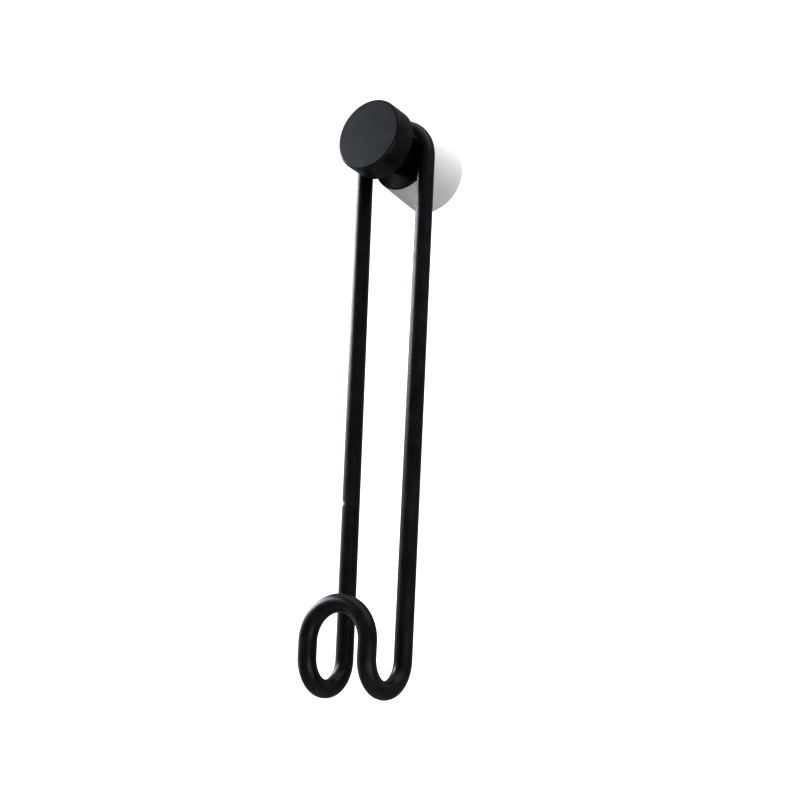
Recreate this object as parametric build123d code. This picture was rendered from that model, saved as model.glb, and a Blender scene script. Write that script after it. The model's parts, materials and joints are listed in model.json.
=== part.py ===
from build123d import *
import math
import os

# Wall hook: a closed loop of round wire hangs on the neck of a turned knob.
# The bottom of the loop is folded forwards and up into a double J.
# The knob and a flat collar are drawn on to a conical base by a hidden stud.
# The base screws on to a threaded fixing that stands out of the wall.
# Frame: the wall is the plane Y = 0, the room is towards -Y, up is +Z,
# and the knob's axis is the Y axis. All sizes are in millimetres.

# Stack on the knob's axis, from the wall outwards
pad_thickness = 0.5
base_depth = 19.4
collar_thickness = 1.0
neck_length = 11.2
cap_thickness = 9.5

# Turned pieces
base_overhang = 0.2
base_front_diameter = 24.2
base_wall_rounding = 0.4
base_front_rounding = 0.3
pad_inset = 0.7
collar_diameter = 24.0
collar_rounding = 0.5
neck_diameter = 12.0
neck_root_fillet = 1.2
cap_diameter = 26.4
cap_front_rounding = 0.9
cap_back_rounding = 0.8

# Wire loop
wire_diameter = 6.0
arch_spacing = 27.0
tip_spacing = 23.7
hang_clearance = 0.3
side_clearance = 0.9
drop_to_bend = 179.0
bend_radius = 9.8
tip_rise = 4.8

# Stud inside, tapped holes and the hole in the pad
thread_diameter = 6.0
thread_clearance = 0.05
through_clearance = 0.3
grip_in_knob = 9.5
grip_in_base = 6.5
spare_in_knob = 1.5
wall_thread_depth = 8.0
hole_countersink = 0.5
stud_chamfer = 0.7

# Places along the axis that the sizes above give
pad_front = -pad_thickness
base_front = pad_front - base_depth
collar_front = base_front - collar_thickness
cap_back = collar_front - neck_length
cap_front = cap_back - cap_thickness

# The base's wall end is as wide as the cap, with a small overhang all round
base_wall_diameter = cap_diameter + 2 * base_overhang

wire_radius = wire_diameter / 2
arch_radius = arch_spacing / 2
tip_radius = tip_spacing / 2
loop_plane = collar_front - side_clearance - wire_radius
hang_height = neck_diameter / 2 + hang_clearance + wire_radius
arch_centre = hang_height - arch_radius
tip_plane = loop_plane - 2 * bend_radius
tip_centre = tip_rise - drop_to_bend

# The legs run straight from the wide arch and draw together towards the narrower tip
draw_in = math.asin((arch_radius - tip_radius) / (arch_centre - tip_centre))
bend_x = (arch_radius - (arch_centre + drop_to_bend) * math.sin(draw_in)) / math.cos(draw_in)

thread_radius = thread_diameter / 2
clear_radius = thread_radius + through_clearance
tapped_radius = thread_radius + thread_clearance


def turned(points, roundings=()):
    """Revolve a half profile about the knob's axis; roundings are (corner number, radius)."""
    profile = make_face(Polyline(*points, close=True))
    for number, radius in roundings:
        vertex = profile.vertices().sort_by_distance(Vector(*points[number]))[0]
        profile = fillet([vertex], radius)
    return revolve(profile, axis=Axis.Y)


def tapped_hole(mouth, bottom):
    """Flat-ended tapped hole from its countersunk mouth to its bottom."""
    inwards = math.copysign(1, bottom - mouth)
    return turned(
        [
            (0, mouth),
            (tapped_radius + hole_countersink, mouth),
            (tapped_radius, mouth + inwards * hole_countersink),
            (tapped_radius, bottom),
            (0, bottom),
        ]
    )


def touch_point(side, radius, y, z):
    """Where a leg's line touches a curve of the loop about (0, y, z)."""
    return (side * radius * math.cos(draw_in), y, z - radius * math.sin(draw_in))


def curve(radius, y, z):
    """Rounded end of the loop about (0, y, z), open below."""
    return ThreePointArc(touch_point(-1, radius, y, z), (0, y, z + radius), touch_point(1, radius, y, z))


def side_run(side):
    """One side of the loop from the arch down the leg, round the bend and up to the tip."""
    leg_end = Vector(side * bend_x, loop_plane, -drop_to_bend)
    bend_low = leg_end + Vector(-side * math.sin(draw_in), -1, -math.cos(draw_in)) * bend_radius
    bend_end = leg_end + Vector(0, -2 * bend_radius, 0)
    leg = Line(touch_point(side, arch_radius, loop_plane, arch_centre), leg_end)
    bend = ThreePointArc(leg_end, bend_low, bend_end)
    riser = Line(bend_end, touch_point(side, tip_radius, tip_plane, tip_centre))
    return [leg, bend, riser]


# Thin pad between the base and the wall, open for the wall's fixing
pad_radius = base_wall_diameter / 2 - pad_inset
pad = turned([(clear_radius, 0), (pad_radius, 0), (pad_radius, pad_front), (clear_radius, pad_front)])

# Conical base, tapped from the front for the stud and from the back for the wall's fixing
base = turned(
    [
        (0, pad_front),
        (base_wall_diameter / 2, pad_front),
        (base_front_diameter / 2, base_front),
        (0, base_front),
    ],
    [(1, base_wall_rounding), (2, base_front_rounding)],
)
stud_seat = base_front + grip_in_base
base -= tapped_hole(base_front, stud_seat)
base -= tapped_hole(pad_front, pad_front - wall_thread_depth)

# Flat collar that the loop hangs beside
collar = turned(
    [
        (clear_radius, base_front),
        (collar_diameter / 2, base_front),
        (collar_diameter / 2, collar_front),
        (clear_radius, collar_front),
    ],
    [(2, collar_rounding)],
)

# Knob: cap and neck turned in one, tapped from the back
stud_front = collar_front - grip_in_knob
knob = turned(
    [
        (0, collar_front),
        (neck_diameter / 2, collar_front),
        (neck_diameter / 2, cap_back),
        (cap_diameter / 2, cap_back),
        (cap_diameter / 2, cap_front),
        (0, cap_front),
    ],
    [(2, neck_root_fillet), (3, cap_back_rounding), (4, cap_front_rounding)],
)
knob -= tapped_hole(collar_front, stud_front - spare_in_knob)

# Stud: bottoms in the base and draws the knob and collar up to it
stud = turned(
    [
        (0, stud_seat),
        (thread_radius - stud_chamfer, stud_seat),
        (thread_radius, stud_seat - stud_chamfer),
        (thread_radius, stud_front + stud_chamfer),
        (thread_radius - stud_chamfer, stud_front),
        (0, stud_front),
    ]
)

# Wire loop: arch over the neck, two legs, two forward bends and a rounded tip
right_side = side_run(1)
left_side = side_run(-1)
arch = curve(arch_radius, loop_plane, arch_centre)
tip = curve(tip_radius, tip_plane, tip_centre)
loop_path = Wire([arch, *right_side, tip, *left_side])
right_leg = right_side[0]
wire_section = Plane(right_leg @ 0.5, z_dir=right_leg % 0.5) * Circle(wire_radius)
loop = sweep(wire_section, path=loop_path)

# The loop hangs with its centre of mass straight below the top of the arch
mass_centre = loop.center(CenterOf.MASS)
hang_lean = math.degrees(math.atan2(loop_plane - mass_centre.Y, hang_height - mass_centre.Z))
hang_axis = Axis((0, loop_plane, hang_height), (1, 0, 0))
loop = loop.rotate(hang_axis, hang_lean)

os.makedirs("parts", exist_ok=True)
for name, solid in (
    ("rear_pad", pad),
    ("base", base),
    ("collar", collar),
    ("knob", knob),
    ("stud", stud),
    ("hook_loop", loop),
):
    export_step(solid, f"parts/{name}.step")

print("loop length", loop_path.length)
print("loop volume", loop.volume, "section times length", wire_section.area * loop_path.length)
print("hang lean in degrees", hang_lean, "mass centre", loop.center(CenterOf.MASS))
swing_y = loop_plane + arch_radius * math.sin(math.radians(hang_lean))
swing_z = hang_height - arch_radius * math.cos(math.radians(hang_lean))
print("arch centre", swing_y, swing_z, "legs draw in by degrees", math.degrees(draw_in))
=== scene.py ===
import json
import math

import bmesh
import bpy
from bpy.props import FloatProperty, FloatVectorProperty, IntProperty, PointerProperty
from mathutils import Matrix, Vector


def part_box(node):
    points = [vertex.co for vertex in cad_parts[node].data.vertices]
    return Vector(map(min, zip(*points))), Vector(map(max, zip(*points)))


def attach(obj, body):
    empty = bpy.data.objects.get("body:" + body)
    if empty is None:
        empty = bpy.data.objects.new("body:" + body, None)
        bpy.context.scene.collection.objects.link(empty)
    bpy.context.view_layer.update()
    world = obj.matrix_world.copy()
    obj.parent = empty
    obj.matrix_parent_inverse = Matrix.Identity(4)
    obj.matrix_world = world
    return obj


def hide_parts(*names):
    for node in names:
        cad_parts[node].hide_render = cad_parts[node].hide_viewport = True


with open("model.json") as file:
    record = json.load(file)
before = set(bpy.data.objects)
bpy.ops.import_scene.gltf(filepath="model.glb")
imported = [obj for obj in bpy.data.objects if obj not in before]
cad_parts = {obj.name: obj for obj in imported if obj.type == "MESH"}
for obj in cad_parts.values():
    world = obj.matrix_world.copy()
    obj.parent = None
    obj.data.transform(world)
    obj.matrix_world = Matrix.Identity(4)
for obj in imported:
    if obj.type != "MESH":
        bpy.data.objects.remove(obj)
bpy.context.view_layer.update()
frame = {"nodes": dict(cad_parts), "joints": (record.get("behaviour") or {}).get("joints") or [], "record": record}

bl_info = {
    "name": "Wall hook with a hanging wire loop",
    "version": (1, 0, 0),
    "blender": (4, 5, 0),
    "location": "View3D > Sidebar > Wall Hook",
    "description": "Dresses the wall hook's solids: bent rod, threads, paint finishes and a studio stage",
    "category": "Object",
}

MM = 0.001
FULL_TURN = 2 * math.pi
HALF_TURN = math.pi
ORIGIN = (0, 0, 0)
KNOB_AXIS = (0, 1, 0)
MOUNT_BODY = "wall_mount"
LOOP_BODY = "hook"

# Rings of facets round the rod's bends and along its weld
BEND_RINGS = 40
TIP_RINGS = 56
ARCH_RINGS = 60
WELD_RINGS = 24

# The weld's nick faces outwards and to the front, and fades round the rod and along it
NICK_FACING = Vector((-0.81, -0.58, 0))
NICK_ROUND_FADE = 4
NICK_LENGTH_FADE = 3

# Half of the foot of a thread's ridge, as a share of the pitch
RIDGE_FOOT_SHARE = 0.46

# Points nearer than this are merged, and flatter edges than these are shaded smooth
MERGE_DISTANCE = 0.005 * MM
ROD_SMOOTHING = math.radians(60)
THREAD_SMOOTHING = math.radians(25)

# Paints bend light like most clear resins
PAINT_IOR = 1.5

# White of the background and of the floor's glow, and the cooler white of the lights
WHITE = (1, 1, 1, 1)
LAMP_COLOUR = (0.965, 0.985, 1.0)

# The floor shows a paler grey to the camera than the grey that it throws back as light
FLOOR_BOUNCE_GREY = 0.6
FLOOR_SEEN_GREY = 0.8
FLOOR_GLOW = 0.12
FLOOR_ROUGHNESS = 0.9

# Camera sensor in millimetres, and the nearest and farthest that the camera sees in metres
SENSOR_WIDTH = 36
NEAREST_SEEN = 0.01
FARTHEST_SEEN = 100

swing = next(joint for joint in frame["joints"] if joint["name"] == "swing")
wall_thread = next(mount for mount in frame["record"]["mounts"] if mount["name"] == "wall_thread")
arch_middle = Vector(swing["pos_m"])
loop_low, loop_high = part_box("hook_loop")
stud_low, stud_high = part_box("stud")
base_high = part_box("base")[1]


class RodSizes(bpy.types.PropertyGroup):
    """Sizes of the bent rod that makes the loop."""

    diameter: FloatProperty(
        name="Rod Diameter", description="Thickness of the round rod", default=6 * MM, unit="LENGTH"
    )
    tip_spacing: FloatProperty(
        name="Tip Spacing", description="Width of the tip's curve, middle to middle of the rod",
        default=23.7 * MM, unit="LENGTH"
    )
    bend_drop: FloatProperty(
        name="Bend Drop", description="From the arch's centre down to the start of the bends",
        default=174.8 * MM, unit="LENGTH"
    )
    bend_radius: FloatProperty(
        name="Bend Radius", description="Forward bend, to the middle of the rod",
        default=9.8 * MM, unit="LENGTH"
    )
    tip_rise: FloatProperty(
        name="Tip Rise", description="From the start of the bends up to the tip's centre",
        default=4.8 * MM, unit="LENGTH"
    )
    lean: FloatProperty(
        name="Hanging Lean", description="How far the hanging legs lean towards the wall",
        default=math.radians(1.56171), subtype="ANGLE"
    )
    weld_drop: FloatProperty(
        name="Weld Drop", description="From the arch's centre down to the butt weld in the left leg",
        default=122.6 * MM, unit="LENGTH"
    )
    weld_reach: FloatProperty(
        name="Weld Reach", description="Half the length of rod that the dressed weld takes",
        default=2.4 * MM, unit="LENGTH"
    )
    weld_nick: FloatProperty(
        name="Weld Nick", description="Depth of the nick left where the weld was dressed",
        default=0.4 * MM, unit="LENGTH"
    )
    sides: IntProperty(name="Rod Sides", description="Facets round the rod", default=48)


class ThreadSizes(bpy.types.PropertyGroup):
    """Sizes of the six millimetre threads."""

    pitch: FloatProperty(
        name="Pitch", description="Rise of the thread in one turn", default=1 * MM, unit="LENGTH"
    )
    depth: FloatProperty(
        name="Depth", description="Height of the ridge from root to crest", default=0.54 * MM, unit="LENGTH"
    )
    crest: FloatProperty(
        name="Crest", description="Flat on top of the ridge", default=0.16 * MM, unit="LENGTH"
    )
    root_overlap: FloatProperty(
        name="Root Overlap", description="How far the ridge is sunk in what carries it",
        default=0.03 * MM, unit="LENGTH"
    )
    chamfer: FloatProperty(
        name="Stud Chamfer", description="Chamfer on the stud's ends", default=0.7 * MM, unit="LENGTH"
    )
    sides: IntProperty(name="Thread Sides", description="Facets in one turn", default=48)


class FinishColours(bpy.types.PropertyGroup):
    """Colours of the paints, the pad and the steel."""

    coat: FloatVectorProperty(
        name="Black Coat", description="Powder coat on the knob, collar and loop",
        default=(0.0036, 0.0042, 0.0056), subtype="COLOR", min=0, max=1
    )
    coat_light: FloatVectorProperty(
        name="Black Coat, Lighter", description="Lighter patches of the powder coat",
        default=(0.0120, 0.0134, 0.0152), subtype="COLOR", min=0, max=1
    )
    coat_sheen: FloatVectorProperty(
        name="Black Coat, Sheen", description="Cool tint of the powder coat's highlights",
        default=(0.9, 0.95, 1.0), subtype="COLOR", min=0, max=1
    )
    paint: FloatVectorProperty(
        name="White Paint", description="Satin paint on the base",
        default=(0.89, 0.89, 0.895), subtype="COLOR", min=0, max=1
    )
    paint_shade: FloatVectorProperty(
        name="White Paint, Duller", description="Slightly duller patches of the white paint",
        default=(0.85, 0.85, 0.855), subtype="COLOR", min=0, max=1
    )
    rubber: FloatVectorProperty(
        name="Rubber", description="Pad behind the base",
        default=(0.012, 0.012, 0.013), subtype="COLOR", min=0, max=1
    )
    rubber_dust: FloatVectorProperty(
        name="Rubber Bloom", description="Pale bloom on the pad",
        default=(0.035, 0.035, 0.036), subtype="COLOR", min=0, max=1
    )
    steel: FloatVectorProperty(
        name="Steel", description="Stud and bare threads",
        default=(0.55, 0.55, 0.56), subtype="COLOR", min=0, max=1
    )
    steel_dull: FloatVectorProperty(
        name="Dull Steel", description="Duller patches of the steel",
        default=(0.36, 0.36, 0.37), subtype="COLOR", min=0, max=1
    )


class StageSettings(bpy.types.PropertyGroup):
    """Camera, lights and floor."""

    eye: FloatVectorProperty(
        name="Camera Place", description="Where the camera stands",
        default=(0.239518, -0.346065, -0.201778), subtype="TRANSLATION", unit="LENGTH"
    )
    yaw: FloatProperty(
        name="Yaw", description="Turn to the left of straight at the wall",
        default=math.radians(35.732), subtype="ANGLE"
    )
    pitch: FloatProperty(
        name="Pitch", description="Tilt above the horizon", default=math.radians(15.3245), subtype="ANGLE"
    )
    roll: FloatProperty(
        name="Roll", description="Turn about the line of sight",
        default=math.radians(3.3092), subtype="ANGLE"
    )
    lens: FloatProperty(
        name="Lens", description="Focal length in millimetres", default=54.836, unit="CAMERA"
    )
    floor_drop: FloatProperty(
        name="Floor Drop", description="Gap from the loop's lowest point to the floor",
        default=0.75, unit="LENGTH"
    )
    floor_size: FloatProperty(
        name="Floor Size", description="Side of the square floor", default=2.4, unit="LENGTH"
    )
    floor_forward: FloatProperty(
        name="Floor Forward", description="How far the floor's middle lies in front of the wall",
        default=0.6, unit="LENGTH"
    )
    floor_right: FloatProperty(
        name="Floor Right", description="How far the floor's middle lies to the right of the knob",
        default=0.35, unit="LENGTH"
    )
    backdrop: FloatProperty(
        name="Backdrop", description="Brightness of the white background", default=1.0
    )
    room_light: FloatProperty(
        name="Room Light", description="Strength of the even light from all round", default=0.23
    )
    fill_power: FloatProperty(
        name="Fill Power", description="Power of the light at the upper right that leaves no highlights",
        default=12.2, unit="POWER"
    )
    fill_sheen_power: FloatProperty(
        name="Fill Sheen Power", description="Power of the light at the upper right that the coat mirrors",
        default=5.5, unit="POWER"
    )
    right_low_power: FloatProperty(
        name="Right Low Power", description="Power of the weak light below the knob at the right",
        default=1.35, unit="POWER"
    )
    left_power: FloatProperty(
        name="Left Power", description="Power of the light at the left", default=2.2, unit="POWER"
    )
    left_sheen_power: FloatProperty(
        name="Left Sheen Power", description="Power of the light at the left that shows only in highlights",
        default=4.9, unit="POWER"
    )
    left_low_power: FloatProperty(
        name="Left Low Power", description="Power of the weak light low at the left, only for highlights",
        default=1.5, unit="POWER"
    )
    front_power: FloatProperty(
        name="Front Power", description="Power of the weak light at the front left",
        default=0.3, unit="POWER"
    )


def link(piece_name, bm, closed=True):
    """Turn a finished bmesh into an object at the origin."""
    bmesh.ops.remove_doubles(bm, verts=bm.verts, dist=MERGE_DISTANCE)
    bmesh.ops.recalc_face_normals(bm, faces=bm.faces)
    if closed and any(not edge.is_manifold for edge in bm.edges):
        raise RuntimeError(f"{piece_name} has an open seam")
    mesh = bpy.data.meshes.new(piece_name)
    bm.to_mesh(mesh)
    bm.free()
    piece = bpy.data.objects.new(piece_name, mesh)
    bpy.context.scene.collection.objects.link(piece)
    return piece


def smooth_by_angle(piece, limit):
    """Smooth shading with hard edges where faces meet at more than the limit."""
    piece.data.shade_smooth()
    piece.data.set_sharp_from_angle(angle=limit)


def edges_of(geometry):
    """The edges in a bmesh operator's result."""
    return [item for item in geometry if isinstance(item, bmesh.types.BMEdge)]


def vertices_of(geometry):
    """The vertices in a bmesh operator's result."""
    return [item for item in geometry if isinstance(item, bmesh.types.BMVert)]


def draw_straight(bm, ring, run):
    """Carry the open end of the rod along a straight run."""
    drawn = bmesh.ops.extrude_edge_only(bm, edges=ring)["geom"]
    bmesh.ops.translate(bm, verts=vertices_of(drawn), vec=run)
    return edges_of(drawn)


def bend_round(bm, ring, middle, axis, angle, rings):
    """Carry the open end of the rod round a bend."""
    corners = list({vertex for edge in ring for vertex in edge.verts})
    bent = bmesh.ops.spin(
        bm, geom=corners + ring, cent=middle, axis=axis, dvec=(0, 0, 0),
        angle=angle, steps=rings, use_merge=False, use_duplicate=False,
    )
    return edges_of(bent["geom_last"])


def nick_weld(bm, rod, middle, along):
    """Press a shallow nick into the rod's outer front side at the weld."""
    for vertex in bm.verts:
        offset = vertex.co - middle
        height = offset.dot(along)
        outwards = offset - height * along
        if abs(height) > rod.weld_reach or outwards.length > rod.diameter:
            continue
        outwards.normalize()
        facing = max(0, outwards.dot(NICK_FACING)) ** NICK_ROUND_FADE
        nearness = math.exp(-((NICK_LENGTH_FADE * height / rod.weld_reach) ** 2))
        vertex.co -= outwards * rod.weld_nick * facing * nearness


def build_loop(rod):
    """The closed rod: right leg, bend, tip, bend, left leg with its weld, and the arch."""
    arch_radius = (loop_high.x - loop_low.x - rod.diameter) / 2
    tip_radius = rod.tip_spacing / 2
    tip_drop = rod.bend_drop - rod.tip_rise
    draw_in = math.asin((arch_radius - tip_radius) / tip_drop)
    inwards, level = math.sin(draw_in), math.cos(draw_in)
    leg_length = (rod.bend_drop - arch_radius * inwards) / level
    riser_length = (rod.tip_rise - tip_radius * inwards) / level
    bend_x = arch_radius * level - leg_length * inwards
    tip_middle = Vector((0, -2 * rod.bend_radius, -tip_drop))
    curve_angle = HALF_TURN + 2 * draw_in
    right_down = Vector((-inwards, 0, -level))
    left_down = Vector((inwards, 0, -level))

    bm = bmesh.new()
    touch = Matrix.Translation((arch_radius * level, 0, -arch_radius * inwards))
    start = bmesh.ops.create_circle(
        bm, cap_ends=False, segments=rod.sides, radius=rod.diameter / 2,
        matrix=touch @ Matrix.Rotation(draw_in, 4, "Y"),
    )
    ring = list({edge for vertex in start["verts"] for edge in vertex.link_edges})
    ring = draw_straight(bm, ring, right_down * leg_length)
    right_bend = (bend_x, -rod.bend_radius, -rod.bend_drop)
    ring = bend_round(bm, ring, right_bend, (-level, 0, inwards), HALF_TURN, BEND_RINGS)
    ring = draw_straight(bm, ring, -right_down * riser_length)
    ring = bend_round(bm, ring, tip_middle, -Vector(KNOB_AXIS), curve_angle, TIP_RINGS)
    ring = draw_straight(bm, ring, left_down * riser_length)
    left_bend = (-bend_x, -rod.bend_radius, -rod.bend_drop)
    ring = bend_round(bm, ring, left_bend, (level, 0, inwards), HALF_TURN, BEND_RINGS)

    weld_rise = (rod.bend_drop - rod.weld_drop) / level
    ring = draw_straight(bm, ring, -left_down * (weld_rise - rod.weld_reach))
    for _ in range(WELD_RINGS):
        ring = draw_straight(bm, ring, -left_down * (2 * rod.weld_reach / WELD_RINGS))
    ring = draw_straight(bm, ring, -left_down * (leg_length - weld_rise - rod.weld_reach))
    bend_round(bm, ring, ORIGIN, KNOB_AXIS, curve_angle, ARCH_RINGS)
    weld_middle = Vector((-bend_x, 0, -rod.bend_drop)) - left_down * weld_rise
    nick_weld(bm, rod, weld_middle, left_down)

    bmesh.ops.rotate(bm, verts=bm.verts, cent=ORIGIN, matrix=Matrix.Rotation(rod.lean, 3, "X"))
    bmesh.ops.translate(bm, verts=bm.verts, vec=arch_middle)
    return bm


def add_ridge(bm, thread, root_radius, crest_radius, start, length):
    """A helical ridge along the knob's axis, from root to crest, closed at both ends."""
    outwards = math.copysign(1, crest_radius - root_radius)
    foot_radius = root_radius - outwards * thread.root_overlap
    half_foot = thread.pitch * RIDGE_FOOT_SHARE
    half_crest = thread.crest / 2
    section = [
        bm.verts.new((foot_radius, start - half_foot, 0)),
        bm.verts.new((crest_radius, start - half_crest, 0)),
        bm.verts.new((crest_radius, start + half_crest, 0)),
        bm.verts.new((foot_radius, start + half_foot, 0)),
    ]
    outline = [bm.edges.new((corner, section[number - 1])) for number, corner in enumerate(section)]
    turns = length / thread.pitch
    steps = round(turns * thread.sides)
    wound = bmesh.ops.spin(
        bm, geom=section + outline, cent=ORIGIN, axis=KNOB_AXIS, dvec=(0, length / steps, 0),
        angle=turns * FULL_TURN, steps=steps, use_merge=False, use_duplicate=False,
    )
    bmesh.ops.holes_fill(bm, edges=outline + edges_of(wound["geom_last"]), sides=0)


def build_stud(thread):
    """Stud with chamfered ends and a thread from end to end."""
    crest = (stud_high.x - stud_low.x) / 2
    root = crest - thread.depth
    back, front = stud_high.y, stud_low.y
    half_chamfer = thread.chamfer / 2
    profile = [
        (0, back),
        (crest - thread.chamfer, back),
        (root, back - half_chamfer),
        (root, front + half_chamfer),
        (crest - thread.chamfer, front),
        (0, front),
    ]
    bm = bmesh.new()
    corners = [bm.verts.new((radius, place, 0)) for radius, place in profile]
    outline = [bm.edges.new(pair) for pair in zip(corners, corners[1:])]
    bmesh.ops.spin(
        bm, geom=corners + outline, cent=ORIGIN, axis=KNOB_AXIS, dvec=(0, 0, 0),
        angle=FULL_TURN, steps=thread.sides, use_merge=True, use_duplicate=False,
    )
    margin = thread.chamfer + thread.pitch / 2
    add_ridge(bm, thread, root, crest, front + margin, back - front - 2 * margin)
    return bm


def build_wall_thread(thread):
    """Thread that stands in from the wall of the base's rear hole."""
    root = wall_thread["dims"]["r_mm"] * MM
    length = wall_thread["dims"]["length_mm"] * MM
    mouth = base_high.y - thread.pitch
    bm = bmesh.new()
    add_ridge(bm, thread, root, root - thread.depth, mouth - length + thread.pitch, length - thread.pitch)
    return bm


def grain_group():
    """Node group shared by the finishes: fine grain, soft orange peel and wide mottling."""
    name = "finish_grain"
    if name in bpy.data.node_groups:
        return bpy.data.node_groups[name]
    group = bpy.data.node_groups.new(name, "ShaderNodeTree")
    vector = group.interface.new_socket("Vector", in_out="INPUT", socket_type="NodeSocketVector")
    vector.hide_value = True
    for label in ("Grain Scale", "Peel Scale", "Mottle Scale", "Peel Share"):
        group.interface.new_socket(label, in_out="INPUT", socket_type="NodeSocketFloat")
    for label in ("Height", "Grain", "Mottle"):
        group.interface.new_socket(label, in_out="OUTPUT", socket_type="NodeSocketFloat")
    inside = group.nodes.new("NodeGroupInput")
    outside = group.nodes.new("NodeGroupOutput")

    def noise(scale_name, detail, roughness):
        node = group.nodes.new("ShaderNodeTexNoise")
        node.inputs["Detail"].default_value = detail
        node.inputs["Roughness"].default_value = roughness
        group.links.new(inside.outputs["Vector"], node.inputs["Vector"])
        group.links.new(inside.outputs[scale_name], node.inputs["Scale"])
        return node.outputs["Fac"]

    grain = noise("Grain Scale", detail=3.0, roughness=0.6)
    peel = noise("Peel Scale", detail=1.5, roughness=0.45)
    mottle = noise("Mottle Scale", detail=2.0, roughness=0.5)
    blend = group.nodes.new("ShaderNodeMix")
    blend.data_type = "FLOAT"
    group.links.new(inside.outputs["Peel Share"], blend.inputs["Factor"])
    group.links.new(grain, blend.inputs["A"])
    group.links.new(peel, blend.inputs["B"])
    group.links.new(blend.outputs["Result"], outside.inputs["Height"])
    group.links.new(grain, outside.inputs["Grain"])
    group.links.new(mottle, outside.inputs["Mottle"])
    return group


class Finish:
    """A node material under construction: its shader, its grain and helpers to join nodes."""

    def __init__(self, name, grain_scale, peel_scale, mottle_scale, peel_share):
        self.material = bpy.data.materials.new(name)
        self.material.use_nodes = True
        self.tree = self.material.node_tree
        self.shader = self.tree.nodes["Principled BSDF"]
        self.grain = self.tree.nodes.new("ShaderNodeGroup")
        self.grain.node_tree = grain_group()
        self.grain.inputs["Grain Scale"].default_value = grain_scale
        self.grain.inputs["Peel Scale"].default_value = peel_scale
        self.grain.inputs["Mottle Scale"].default_value = mottle_scale
        self.grain.inputs["Peel Share"].default_value = peel_share
        place = self.tree.nodes.new("ShaderNodeTexCoord")
        self.join(place.outputs["Object"], self.grain.inputs["Vector"])

    def join(self, output, target):
        """Link one node's output to another's input."""
        self.tree.links.new(output, target)

    def fixed(self, socket, value):
        """Set a value that is the same all over the surface."""
        self.shader.inputs[socket].default_value = value

    def spread(self, pattern, over, low, high):
        """Stretch part of a pattern's range so that it runs from low to high."""
        node = self.tree.nodes.new("ShaderNodeMapRange")
        node.clamp = True
        node.inputs["From Min"].default_value, node.inputs["From Max"].default_value = over
        node.inputs["To Min"].default_value = low
        node.inputs["To Max"].default_value = high
        self.join(self.grain.outputs[pattern], node.inputs["Value"])
        return node.outputs["Result"]

    def colour(self, pattern, over, first, second):
        """Let a pattern mix the surface's colour from two."""
        node = self.tree.nodes.new("ShaderNodeMix")
        node.data_type = "RGBA"
        node.inputs["A"].default_value = (*first, 1)
        node.inputs["B"].default_value = (*second, 1)
        self.join(self.spread(pattern, over, 0, 1), node.inputs["Factor"])
        self.join(node.outputs["Result"], self.shader.inputs["Base Color"])

    def roughness(self, pattern, over, smooth, rough):
        """Let a pattern vary the gloss."""
        self.join(self.spread(pattern, over, smooth, rough), self.shader.inputs["Roughness"])

    def relief(self, strength, distance):
        """Raise the grain and the orange peel as bump."""
        node = self.tree.nodes.new("ShaderNodeBump")
        node.inputs["Strength"].default_value = strength
        node.inputs["Distance"].default_value = distance
        self.join(self.grain.outputs["Height"], node.inputs["Height"])
        self.join(node.outputs["Normal"], self.shader.inputs["Normal"])


def black_coat(colours):
    """Semi-matte powder coat with a fine grain and faint patches."""
    finish = Finish("black_coat", grain_scale=5200, peel_scale=1100, mottle_scale=190, peel_share=0.45)
    finish.colour("Mottle", over=(0.35, 0.68), first=colours.coat, second=colours.coat_light)
    finish.roughness("Mottle", over=(0.2, 0.8), smooth=0.26, rough=0.42)
    finish.relief(strength=0.22, distance=0.05 * MM)
    finish.fixed("IOR", PAINT_IOR)
    finish.fixed("Specular Tint", (*colours.coat_sheen, 1))
    return finish.material


def white_paint(colours):
    """Satin white paint with a soft orange peel."""
    finish = Finish("white_paint", grain_scale=3800, peel_scale=650, mottle_scale=110, peel_share=0.75)
    finish.colour("Mottle", over=(0.36, 0.7), first=colours.paint, second=colours.paint_shade)
    finish.roughness("Mottle", over=(0.3, 0.7), smooth=0.3, rough=0.4)
    finish.relief(strength=0.08, distance=0.05 * MM)
    finish.fixed("IOR", PAINT_IOR)
    return finish.material


def dark_rubber(colours):
    """Matte rubber with fine pores and a pale bloom."""
    finish = Finish("dark_rubber", grain_scale=6500, peel_scale=2600, mottle_scale=240, peel_share=0.5)
    finish.colour("Mottle", over=(0.5, 0.8), first=colours.rubber, second=colours.rubber_dust)
    finish.roughness("Grain", over=(0.3, 0.7), smooth=0.78, rough=0.95)
    finish.relief(strength=0.5, distance=0.08 * MM)
    return finish.material


def stud_steel(colours):
    """Bare steel with a fine grain and duller patches."""
    finish = Finish("stud_steel", grain_scale=9000, peel_scale=2400, mottle_scale=420, peel_share=0.35)
    finish.colour("Mottle", over=(0.4, 0.7), first=colours.steel, second=colours.steel_dull)
    finish.roughness("Grain", over=(0.3, 0.7), smooth=0.28, rough=0.5)
    finish.relief(strength=0.12, distance=0.03 * MM)
    finish.fixed("Metallic", 1.0)
    return finish.material


FINISHES = {
    "black_coat": black_coat,
    "white_paint": white_paint,
    "dark_rubber": dark_rubber,
    "stud_steel": stud_steel,
}
made_finishes = {}


def finish_named(context, name):
    """The finish of that name, made the first time that it is asked for."""
    if name not in made_finishes:
        made_finishes[name] = FINISHES[name](context.scene.finish_colours)
    return made_finishes[name]


def coat_node(context, node, name):
    """Give a solid its finish."""
    solid = frame["nodes"][node]
    if not solid.material_slots:
        raise RuntimeError(f"{node} has no material slot")
    for held in solid.material_slots:
        held.material = finish_named(context, name)


class WALLHOOK_OT_turned_black(bpy.types.Operator):
    """Coat the knob and the collar black"""

    bl_idname = "wallhook.turned_black"
    bl_label = "Knob and Collar"

    def execute(self, context):
        for node in ("knob", "collar"):
            coat_node(context, node, "black_coat")
        return {"FINISHED"}


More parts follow.
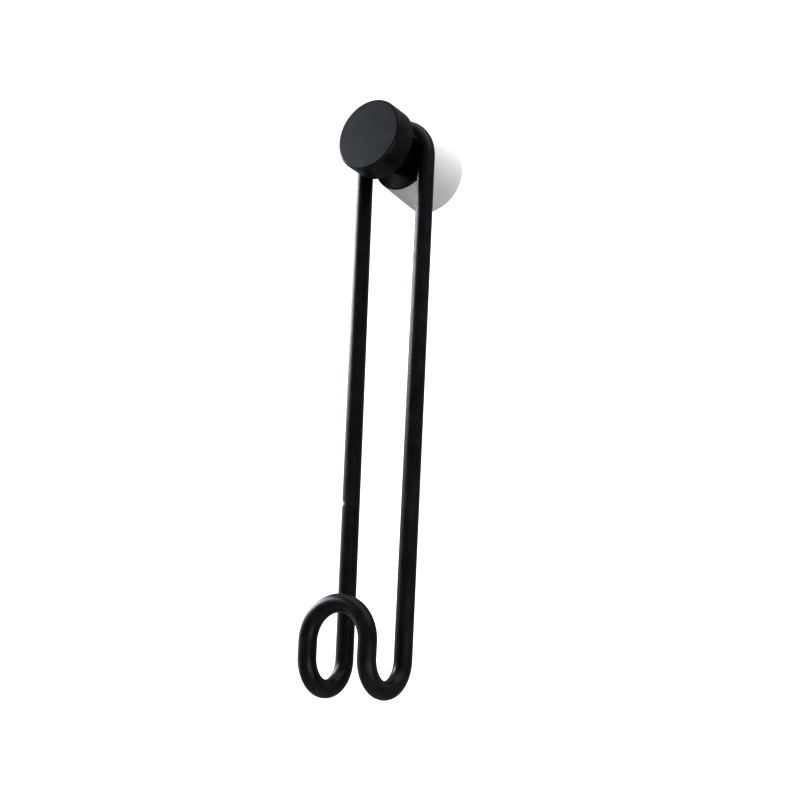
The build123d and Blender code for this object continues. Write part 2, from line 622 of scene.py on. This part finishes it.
class WALLHOOK_OT_base(bpy.types.Operator):
    """Paint the base white"""

    bl_idname = "wallhook.base"
    bl_label = "Base"

    def execute(self, context):
        coat_node(context, "base", "white_paint")
        return {"FINISHED"}


class WALLHOOK_OT_rear_pad(bpy.types.Operator):
    """Give the pad behind the base its rubber"""

    bl_idname = "wallhook.rear_pad"
    bl_label = "Rear Pad"

    def execute(self, context):
        coat_node(context, "rear_pad", "dark_rubber")
        return {"FINISHED"}


class WALLHOOK_OT_loop(bpy.types.Operator):
    """Bend the loop from rod, with its butt weld in the left leg"""

    bl_idname = "wallhook.loop"
    bl_label = "Wire Loop"

    def execute(self, context):
        loop = link("bent_loop", build_loop(context.scene.rod_sizes))
        smooth_by_angle(loop, ROD_SMOOTHING)
        loop.data.materials.append(finish_named(context, "black_coat"))
        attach(loop, LOOP_BODY)
        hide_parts("hook_loop")
        return {"FINISHED"}


class WALLHOOK_OT_threads(bpy.types.Operator):
    """Cut the stud's thread and the thread in the base's rear hole"""

    bl_idname = "wallhook.threads"
    bl_label = "Stud and Wall Thread"

    def execute(self, context):
        thread = context.scene.thread_sizes
        stud = link("threaded_stud", build_stud(thread))
        rear = link("base_rear_thread", build_wall_thread(thread))
        for piece in (stud, rear):
            smooth_by_angle(piece, THREAD_SMOOTHING)
            piece.data.materials.append(finish_named(context, "stud_steel"))
            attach(piece, MOUNT_BODY)
        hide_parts("stud")
        return {"FINISHED"}


def show_to_camera(tree, seen, lighting, surface):
    """Show one shader to the camera and let another light the scene."""
    path = tree.nodes.new("ShaderNodeLightPath")
    choice = tree.nodes.new("ShaderNodeMixShader")
    factor, other_rays, camera_rays = choice.inputs
    tree.links.new(path.outputs["Is Camera Ray"], factor)
    tree.links.new(lighting, other_rays)
    tree.links.new(seen, camera_rays)
    tree.links.new(choice.outputs["Shader"], surface)


def add_floor(stage):
    """Plain pale floor below the loop."""
    bm = bmesh.new()
    middle = (stage.floor_right, -stage.floor_forward, loop_low.z - stage.floor_drop)
    bmesh.ops.create_grid(
        bm, x_segments=1, y_segments=1, size=stage.floor_size / 2, matrix=Matrix.Translation(middle)
    )
    floor = link("floor", bm, closed=False)
    surface = bpy.data.materials.new("pale_floor")
    surface.use_nodes = True
    tree = surface.node_tree
    lighting = tree.nodes["Principled BSDF"]
    seen = tree.nodes.new("ShaderNodeBsdfPrincipled")
    for shader, grey in ((lighting, FLOOR_BOUNCE_GREY), (seen, FLOOR_SEEN_GREY)):
        shader.inputs["Base Color"].default_value = (grey, grey, grey, 1)
        shader.inputs["Roughness"].default_value = FLOOR_ROUGHNESS
    seen.inputs["Emission Color"].default_value = WHITE
    seen.inputs["Emission Strength"].default_value = FLOOR_GLOW
    ending = tree.nodes["Material Output"].inputs["Surface"]
    show_to_camera(tree, seen.outputs["BSDF"], lighting.outputs["BSDF"], ending)
    floor.data.materials.append(surface)


def add_backdrop(stage):
    """White behind everything, with a much weaker even light on the object."""
    world = bpy.data.worlds.new("studio")
    world.use_nodes = True
    tree = world.node_tree
    lighting = tree.nodes["Background"]
    seen = tree.nodes.new("ShaderNodeBackground")
    for background, strength in ((lighting, stage.room_light), (seen, stage.backdrop)):
        background.inputs["Color"].default_value = WHITE
        background.inputs["Strength"].default_value = strength
    ending = tree.nodes["World Output"].inputs["Surface"]
    show_to_camera(tree, seen.outputs["Background"], lighting.outputs["Background"], ending)
    bpy.context.scene.world = world


def add_light(name, power, size, azimuth, elevation, distance, diffuse=True, glossy=True):
    """A soft rectangular light that faces the origin, placed by degrees round it and above it."""
    lamp = bpy.data.lights.new(name, "AREA")
    lamp.shape = "RECTANGLE"
    lamp.energy = power
    lamp.color = LAMP_COLOUR
    lamp.size, lamp.size_y = size
    turn, rise = math.radians(azimuth), math.radians(elevation)
    away = Vector((math.sin(turn) * math.cos(rise), -math.cos(turn) * math.cos(rise), math.sin(rise)))
    holder = bpy.data.objects.new(name, lamp)
    holder.location = away * distance
    holder.rotation_euler = away.to_track_quat("Z", "Y").to_euler()
    holder.visible_diffuse = diffuse
    holder.visible_glossy = glossy
    bpy.context.scene.collection.objects.link(holder)


def add_lights(stage):
    """Wide soft lights above and below at the right, and at the left for the rods' bright edges."""
    # Lights in the same direction stand at different distances, so that neither hides the other's sheen
    fill = {"size": (1.1, 2.2), "azimuth": 86, "elevation": 74}
    add_light("upper_right", stage.fill_power, **fill, distance=1.1, glossy=False)
    add_light("upper_right_sheen", stage.fill_sheen_power, **fill, distance=1.2)
    left = {"azimuth": -78, "elevation": 22.5}
    add_light("left_side", stage.left_power, size=(1.0, 0.35), **left, distance=0.9)
    add_light("left_sheen", stage.left_sheen_power, size=(1.05, 0.37), **left, distance=0.95, diffuse=False)
    add_light(
        "right_low", stage.right_low_power, size=(0.8, 0.4), azimuth=68, elevation=-28, distance=0.9
    )
    add_light(
        "front_left", stage.front_power, size=(0.5, 0.4), azimuth=-45, elevation=26, distance=0.95
    )
    add_light(
        "left_low", stage.left_low_power, size=(0.9, 0.75), azimuth=-88, elevation=-10, distance=0.9,
        diffuse=False,
    )


def add_camera(stage):
    """Camera at the photograph's viewing angle."""
    forward = math.cos(stage.pitch)
    ahead = Vector((-math.sin(stage.yaw) * forward, math.cos(stage.yaw) * forward, math.sin(stage.pitch)))
    level = Vector((math.cos(stage.yaw), math.sin(stage.yaw), 0))
    above = level.cross(ahead)
    across = math.cos(stage.roll) * level + math.sin(stage.roll) * above
    upwards = math.cos(stage.roll) * above - math.sin(stage.roll) * level
    lens = bpy.data.cameras.new("camera")
    lens.sensor_width = SENSOR_WIDTH
    lens.lens = stage.lens
    lens.clip_start, lens.clip_end = NEAREST_SEEN, FARTHEST_SEEN
    camera = bpy.data.objects.new("camera", lens)
    turned = Matrix((across, upwards, -ahead)).transposed()
    camera.matrix_world = Matrix.Translation(stage.eye) @ turned.to_4x4()
    bpy.context.scene.collection.objects.link(camera)
    bpy.context.scene.camera = camera


class WALLHOOK_OT_stage(bpy.types.Operator):
    """Set the floor, the white background, the lights and the camera"""

    bl_idname = "wallhook.stage"
    bl_label = "Stage"

    def execute(self, context):
        stage = context.scene.stage_settings
        add_floor(stage)
        add_backdrop(stage)
        add_lights(stage)
        add_camera(stage)
        context.scene.view_settings.view_transform = "Standard"
        context.scene.view_settings.look = "High Contrast"
        return {"FINISHED"}


STEPS = (
    WALLHOOK_OT_turned_black,
    WALLHOOK_OT_base,
    WALLHOOK_OT_rear_pad,
    WALLHOOK_OT_loop,
    WALLHOOK_OT_threads,
    WALLHOOK_OT_stage,
)
SETTINGS = {
    "rod_sizes": RodSizes,
    "thread_sizes": ThreadSizes,
    "finish_colours": FinishColours,
    "stage_settings": StageSettings,
}


class WALLHOOK_PT_panel(bpy.types.Panel):
    """Lists the hook's pieces, sizes, colours and stage"""

    bl_idname = "WALLHOOK_PT_panel"
    bl_label = "Wall Hook"
    bl_space_type = "VIEW_3D"
    bl_region_type = "UI"
    bl_category = "Wall Hook"

    def draw(self, context):
        for step in STEPS:
            self.layout.operator(step.bl_idname)
        for label, group in SETTINGS.items():
            column = self.layout.column()
            for setting in group.__annotations__:
                column.prop(getattr(context.scene, label), setting)


def register():
    """Make the sizes, steps and panel known to Blender."""
    for label, group in SETTINGS.items():
        bpy.utils.register_class(group)
        setattr(bpy.types.Scene, label, PointerProperty(type=group))
    for step in (*STEPS, WALLHOOK_PT_panel):
        bpy.utils.register_class(step)


def unregister():
    """Take them away again."""
    for step in (WALLHOOK_PT_panel, *reversed(STEPS)):
        bpy.utils.unregister_class(step)
    for label, group in SETTINGS.items():
        delattr(bpy.types.Scene, label)
        bpy.utils.unregister_class(group)


def main():
    """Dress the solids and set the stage."""
    register()
    bpy.ops.wallhook.turned_black()
    bpy.ops.wallhook.base()
    bpy.ops.wallhook.rear_pad()
    bpy.ops.wallhook.loop()
    bpy.ops.wallhook.threads()
    bpy.ops.wallhook.stage()


if __name__ == "__main__":
    main()
